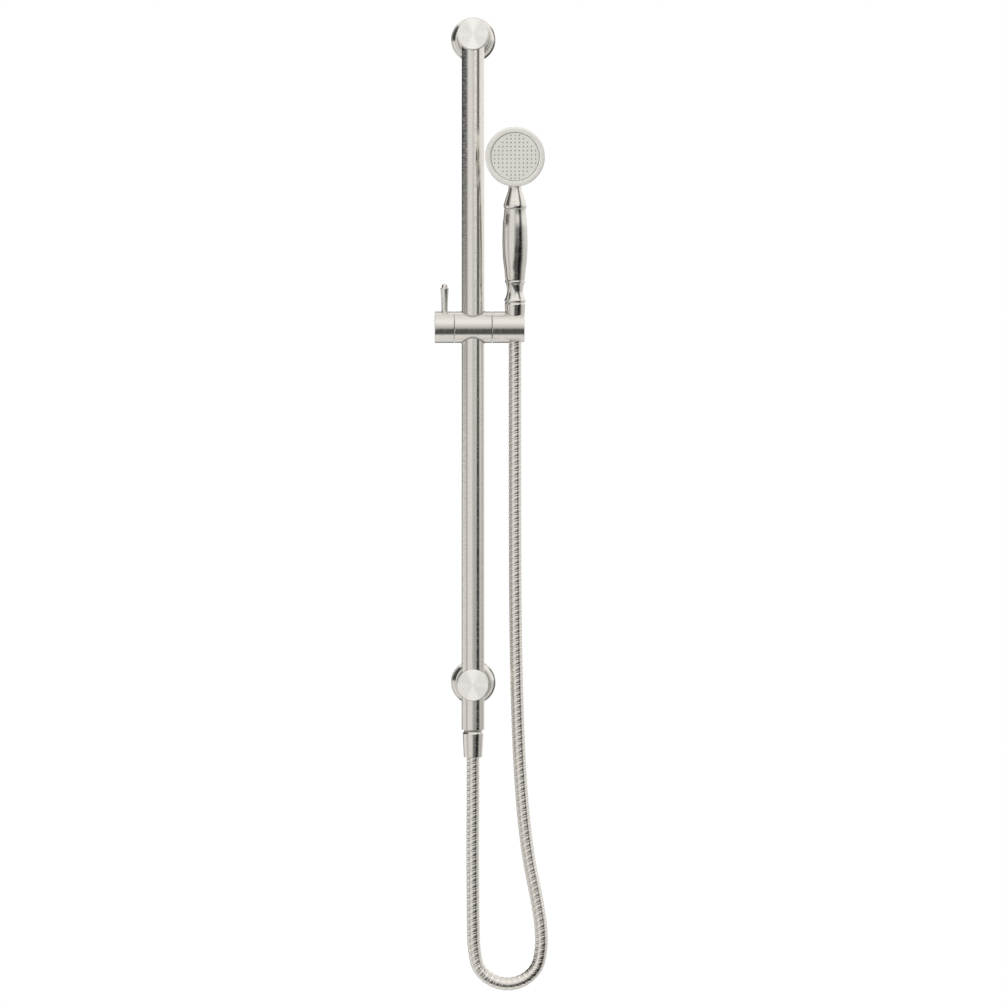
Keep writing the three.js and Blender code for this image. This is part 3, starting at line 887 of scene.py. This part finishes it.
stands_for(
    turned("lock_barrel", [
        (0, barrel_left), (BARREL_RADIUS, barrel_left, 0.8), (BARREL_RADIUS, lock_face, EDGE),
        (6.3, lock_face, 0.3), (6.3, -29.3), (3.4, -29.3), (3.4, -34.2), (0, -34.2),
    ], barrel, 128),
    "lock_knob",
)
BUSH_OUTER = 13.5
rail_bore = rod(BUSH_OUTER + GAP, -20, 20, slider_place, 128)
slider_body = turned("slider_barrel", [
    (0, -10), (3.9, -10), (3.9, -14.8), (6.3, -14.8), (6.3, body_left, 0.3),
    (BARREL_RADIUS, body_left, EDGE), (BARREL_RADIUS, body_right, EDGE), (12.3, body_right, 0.2),
    (12.3, body_right - 1.1), (3, body_right - 1.1), (3, 15.1), (0, 15.1),
], barrel, 128)
stands_for(carved(slider_body, rail_bore), "slider_body")

lever_place = slider_place @ Matrix.Translation((middle("lock_lever").x - rail_x, 0, 0))
lever_top = (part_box("lock_lever")[1].z - barrel_z) / MM
SHAFT = [(3.5, 20), (3.6, 25), (3.8, 31), (4.15, 37), (4.6, 42)]
KNOB = [(3.15, 44.6), (3, 45.8), (2.4, 47.1), (1.2, lever_top - 0.15), (0, lever_top)]
stands_for(
    turned("lock_handle", [
        (0, 16.6), (3.5, 16.6), *flowing(SHAFT, 4), (4.65, 43, 0.5), (3.3, 43.7, 0.3),
        *flowing(KNOB, 4),
    ], lever_place, 64),
    "lock_lever",
)

# %% Bushes that run on the rail
BUSH_LIP = 17.9  # the bush's end follows the barrel this far from its axis
BUSH_BORE = 12.6


def bush(name, side):
    """Half of the rail bush, with its outer end shaped like a saddle over the barrel."""
    piece = turned(name, [
        (BUSH_BORE, 4.3, 0.2), (BUSH_OUTER, 4.3, 0.2), (BUSH_OUTER, BUSH_LIP, 0.25),
        (BUSH_BORE, BUSH_LIP, 0.25),
    ], slider_place, 128, closed=True)
    for vert in piece.data.vertices:
        height = vert.co.z / MM
        if height > BUSH_LIP - 1:
            height += math.sqrt(BUSH_LIP**2 - (vert.co.y / MM) ** 2) - BUSH_LIP
        vert.co.z = side * height * MM
    return tidy_mesh(piece)


stands_for(bush("upper_bush", 1), "rail_bush_upper")
stands_for(bush("lower_bush", -1), "rail_bush_lower")

# %% Tilting holder
HOSE_SLOT = 2 * HOSE_RADIUS + 1


def slot_cutter(width, place):
    """A box that opens the holder's end, so that the hose can be passed in sideways."""
    corners = [(x, y, z) for x in (0, 20) for y in (-width / 2, width / 2) for z in (-30, 30)]
    faces = [(0, 1, 3, 2), (4, 6, 7, 5), (0, 4, 5, 1), (2, 3, 7, 6), (0, 2, 6, 4), (1, 5, 7, 3)]
    piece = new_object("cutter", [tuple(c * MM for c in corner) for corner in corners], faces)
    piece.matrix_world = place
    return piece


holder = turned("holder_barrel", [
    (0, 41.5), (4.8, 41.5), (4.8, 29.3), (3.3, 29.3), (3.3, holder_left + 1.3), (12.3, holder_left + 1.3),
    (12.3, holder_left, 0.2), (BARREL_RADIUS, holder_left, EDGE), (BARREL_RADIUS, barrel_right, 0.8),
    (0, barrel_right),
], barrel, 128)
nut_cone = turned("cutter", [(0, -0.6), (10.4, -0.6), (12, 30), (0, 30)], handset, 128)
hose_bore = rod(HOSE_RADIUS + 1.2, -30, 1, handset)
stands_for(carved(holder, nut_cone, hose_bore, slot_cutter(HOSE_SLOT, handset)), "holder_body")

# %% [markdown]
# ## The handset
# The handset is four turned pieces on one leaning axis: a waisted tail, a grip that swells to a soft
# barrel, a cone that draws in to the slim neck, and the round head. Their outlines are soft, so they
# are curves through a few points, with small steps where one piece meets the next.

# %% Tail, grip and neck
TAIL_WAIST = [(11.1, 31.4), (10.1, 33.8), (9.2, 37), (8.85, 40.4), (9.05, 43.7), (9.75, 47), (10.8, 49.6)]
GRIP = [
    (10.9, 54.4), (11.3, 59), (11.8, 64.5), (12.6, 70), (13.2, 75.5), (13.6, 82), (13.9, 90), (13.92, 97),
    (13.75, 106), (13.5, 113.5), (12.9, 119.5), (12.2, 125.5), (11.9, 130),
]
CONE = [(11.7, 138.3), (11.2, 140.2), (10.1, 143.3), (9.1, 146.5), (8, 149.9), (7.3, 153.2), (7, 157)]

stands_for(
    turned("tail_piece", [
        (5, 17.5), (9.8, 17.5, 0.2), (9.8, 28), (11.2, 28, 0.3), (11.8, 29.2, 0.6), (11.8, 30.6, 0.6),
        *flowing(TAIL_WAIST, 5), (11.25, 51, 0.6), (10.7, 52.4, 0.4), (8, 52.4), (8, 55, 0.2), (6.8, 55),
        (6.8, 57), (8, 57), (8, 60, 0.3), (5, 60, 0.2),
    ], handset, closed=True),
    "handle_tail",
)
stands_for(
    turned("grip", [
        (8.3, 52.7), (10.6, 52.7, 0.5), *flowing(GRIP, 5), (11.9, 131.4, 0.4), (8.3, 131.4), (8.3, 122),
        (11, 114), (11.6, 96), (10.6, 78), (8.3, 63),
    ], handset, closed=True),
    "handle_grip",
)
NECK_RADIUS = 7
NECK_TOP = 170
stands_for(
    turned("neck", [
        (5, 124, 0.2), (8, 124, 0.3), (8, 127), (6.8, 127), (6.8, 129), (8, 129), (8, 131.7),
        (12, 131.7, 0.3), (12.6, 133, 0.7), (12.6, 135.2, 0.7), (12.2, 137.2, 0.6), *flowing(CONE, 5),
        (NECK_RADIUS, NECK_TOP, 0.3), (4.2, NECK_TOP), (4.2, 142), (5, 142),
    ], handset, closed=True),
    "neck_cone",
)

# %% [markdown]
# ## The spray head
# The head is a shallow dome with the spray plate set in a rounded ring. The dome's outline is a curve
# like the grip's, and the neck goes into a hole in its lower side. Rubber nozzles poke through the
# plate in even rows, so they are made by two loops over rows and columns.

# %% Dome, ring and plate
NECK_TO_HEAD = 18.8  # from the neck's end to the middle of the head
head = handset @ Matrix.Translation((0, 0, (NECK_TOP + NECK_TO_HEAD) * MM)) @ out_of_wall
HEAD_RADIUS = 32.8
RING_INNER = 26.7
PLATE_RADIUS = RING_INNER - 0.4
PLATE_FRONT = 12.9
DOME = [
    (0, -9.5), (8, -9.2), (16, -7.6), (23, -4.6), (28, -0.8), (31.2, 3.4), (32.5, 6.8), (HEAD_RADIUS, 9.4),
]
DOME_INSIDE = [(30.2, 9.5), (29.6, 5.6), (26.4, 1.4), (22, -2), (15.5, -4.8), (7.8, -6.4), (0, -6.8)]
dome = turned("head_dome", [*flowing(DOME, 5), *flowing(DOME_INSIDE, 3)], head, 128)
neck_hole = rod(NECK_RADIUS + GAP, NECK_TOP - 60, NECK_TOP + GAP, handset)
stands_for(carved(dome, neck_hole), "head_shell")
stands_for(
    turned("ring", [
        (HEAD_RADIUS, 9.8, 0.2), (HEAD_RADIUS, 12.6, 1.2), (31.6, 14.1, 1.2), (27.9, 14.1, 0.5),
        (27, 13.6, 0.4), (RING_INNER, PLATE_FRONT, 0.2), (RING_INNER, 9.8),
    ], head, 128, closed=True),
    "face_ring",
)
stands_for(
    turned("spray_plate", [
        (0, 10.5), (PLATE_RADIUS, 10.5), (PLATE_RADIUS, PLATE_FRONT, 0.3), (0, PLATE_FRONT),
    ], head, 128),
    "nozzle_plate",
)

# %% Nozzles
NOZZLE_STEP = 4.5
# each row's distance from the middle and its number of nozzles, and one nozzle's outline
NOZZLE_ROWS = [(2.25, 11), (6.75, 11), (11.25, 9), (15.75, 7), (19.8, 5), (23.5, 3)]
NOZZLE = [(0.72, -0.2), (0.7, 0.25), (0.58, 0.42), (0.36, 0.42), (0.3, 0.05), (0, 0.05)]
NOZZLE_SIDES = 12


def nozzles(name, place):
    """All the spray nozzles as one piece, because they are one rubber mat on the real head."""
    verts, faces = [], []
    spots = [
        ((column - (count - 1) / 2) * NOZZLE_STEP, side * row)
        for row, count in NOZZLE_ROWS
        for side in (1, -1)
        for column in range(count)
    ]
    for x, y in spots:
        base = len(verts)
        for radius, height in NOZZLE[:-1]:
            for i in range(NOZZLE_SIDES):
                turn = tau * i / NOZZLE_SIDES
                verts.append((x + radius * cos(turn), y + radius * sin(turn), PLATE_FRONT + height))
        for ring in range(len(NOZZLE) - 2):
            for i in range(NOZZLE_SIDES):
                a, b = base + ring * NOZZLE_SIDES, base + (ring + 1) * NOZZLE_SIDES
                j = (i + 1) % NOZZLE_SIDES
                faces.append((a + i, a + j, b + j, b + i))
        last = base + (len(NOZZLE) - 2) * NOZZLE_SIDES
        faces.append(tuple(range(last, last + NOZZLE_SIDES)))
        faces.append(tuple(reversed(range(base, base + NOZZLE_SIDES))))
    piece = new_object(name, [tuple(c * MM for c in vert) for vert in verts], faces)
    piece.matrix_world = place
    print(f"{name}: {len(spots)} nozzles")
    return tidy_mesh(piece)


stands_for(nozzles("spray_nozzles", head), "nozzle_mat", "nozzle_rubber")

# %% [markdown]
# ## Parts that stay as packed
# The seals, the check valve, the hidden pins and the inside tube are never seen when the shower is
# whole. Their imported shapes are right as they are, so they only need their finish.

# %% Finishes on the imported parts
kept = [node for node, part in frame["nodes"].items() if not part.hide_render]
for node in kept:
    mesh = frame["nodes"][node].data
    mesh.materials.clear()
    mesh.materials.append(finishes[slot_with[node]])
print(f"{len(kept)} packed parts keep their shape:", ", ".join(sorted(kept)))

# %% [markdown]
# ## Studio
# Brushed metal is a soft mirror, so its look is mostly the look of the room round it. The room here
# is a white tent with three dark things in it: a tall narrow screen to the right of the camera, a
# wide one far round to the left, and the dark floor in front. Two gaps in the tent, at the left and
# at the camera, and a dark ring behind darken it a little more. The sky is worked out from the
# direction alone: an azimuth, 0 towards the camera and rising to its right, and an elevation. The
# camera itself sees plain white. A soft lamp lights the satin end faces and the plastics. It is
# kept out of the metal's reflections, which the sky already draws.

# %% Sky
world = bpy.data.worlds.new("studio")
bpy.context.scene.world = world
world.use_nodes = True
sky = Tree(world.node_tree)
TO_DEGREES = 180 / pi
x, y, z = sky.parts(sky.add("ShaderNodeTexCoord", output="Generated"))
azimuth = x.math("ARCTAN2", -y) * TO_DEGREES
elevation = z.math("ARCSINE") * TO_DEGREES


def below(value, low, high):
    """1 up to low, falling smoothly to 0 at high."""
    return sky.ramp(value, low, high, 1.0, 0.0)


def screen(value, centre, half, blur):
    """1 within half of centre, falling smoothly to 0 over blur."""
    away = (value - centre).math("ABSOLUTE")
    return below(away, half - blur / 2, half + blur / 2)


def between(low, high, blur):
    """1 where the elevation lies between low and high."""
    over_low = sky.ramp(elevation, low - blur / 2, low + blur / 2)
    return over_low * below(elevation, high - blur / 2, high + blur / 2)


rise = sky.ramp(elevation, -2, 6)
tent = 0.86 + sky.ramp(elevation, 10, 36) * 0.2 - sky.ramp(elevation, 46, 72) * 0.14
tent = tent + rise * sky.ramp(azimuth, 5, 20) * below(elevation, 12, 36) * 0.16
tent = tent * (1 - sky.ramp(azimuth, 66, 80) * between(-60, 2, 8) * 0.2)
right_screen = screen(azimuth, 52.5 + elevation * 0.4, 13.5, 10) * between(-52, 38, 14)
right_screen = right_screen * (1 - rise * 0.16)
left_screen = screen(azimuth, -112, 50, 44) * between(2, 45, 5)
left_gap = screen(azimuth, -66, 8, 20) * between(-40, 20, 20)
front_gap = screen(azimuth, 4, 10, 16) * between(-26, 15, 14) * (1 - rise * 0.6)
behind = sky.ramp(y, 0.66, 0.82) * below(y, 0.93, 0.99) * below(x, 0.1, 0.35)
floor_top = sky.ramp(azimuth, -5, 22) * 10.5 + azimuth.math("MINIMUM", 0.0) * 0.6 - 12
floor_top = floor_top.math("MAXIMUM", -45.0)
dark_floor = below(elevation - floor_top, -9, 8) * sky.ramp(elevation, -64, -50)
dark_floor = dark_floor * screen(azimuth, 0, 78, 30)
shade = (1 - right_screen * 0.95) * (1 - left_screen * 0.93) * (1 - dark_floor * 0.88)
shade = shade * (1 - left_gap * 0.42) * (1 - front_gap * 0.36)
light = tent * shade * (1 - behind * 0.85)
seen = sky.add("ShaderNodeLightPath", output="Is Camera Ray")
lit = sky.add("ShaderNodeBackground", None, {"Color": (1, 0.985, 0.96, 1), "Strength": light})
white = sky.add("ShaderNodeBackground", None, {"Color": (1, 1, 1, 1), "Strength": 1.0})
both = sky.add("ShaderNodeMixShader", None, {0: seen, 1: lit, 2: white})
sky.add("ShaderNodeOutputWorld", None, {"Surface": both})
bpy.context.scene.view_settings.view_transform = "Standard"
print("sky has", len(world.node_tree.nodes), "nodes")

# %% Lamp
lamp = bpy.data.objects.new("lamp", bpy.data.lights.new("lamp", "AREA"))
bpy.context.collection.objects.link(lamp)
lamp.data.size = 2.0
lamp.data.energy = 44
lamp.data.color = (1, 0.985, 0.96)
lamp.location = (-0.8, -3.0, 1.6)
aim = Vector((0, 0, -0.4)) - lamp.location
lamp.rotation_euler = aim.to_track_quat("-Z", "Y").to_euler()
lamp.visible_glossy = False
print(f"lamp {aim.length:.1f} m away")

# %% Floor
FLOOR_DROP = 0.75
FLOOR_RADIUS = 3000
floor_place = Matrix.Translation((0, 0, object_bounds()[0].z - FLOOR_DROP))
disc = [(0, -10), (FLOOR_RADIUS, -10), (FLOOR_RADIUS, 0), (0, 0)]
floor = turned("floor", disc, floor_place)
made, look, here = material("pale_floor")
paint = look.mix(look.noise(here, 2.5, 4), (0.80, 0.80, 0.79, 1), (0.84, 0.84, 0.83, 1))
look.surface({"Base Color": paint, "Roughness": 0.8})
floor.data.materials.append(made)
floor.visible_glossy = False
print(f"floor {FLOOR_DROP} m below the loop")
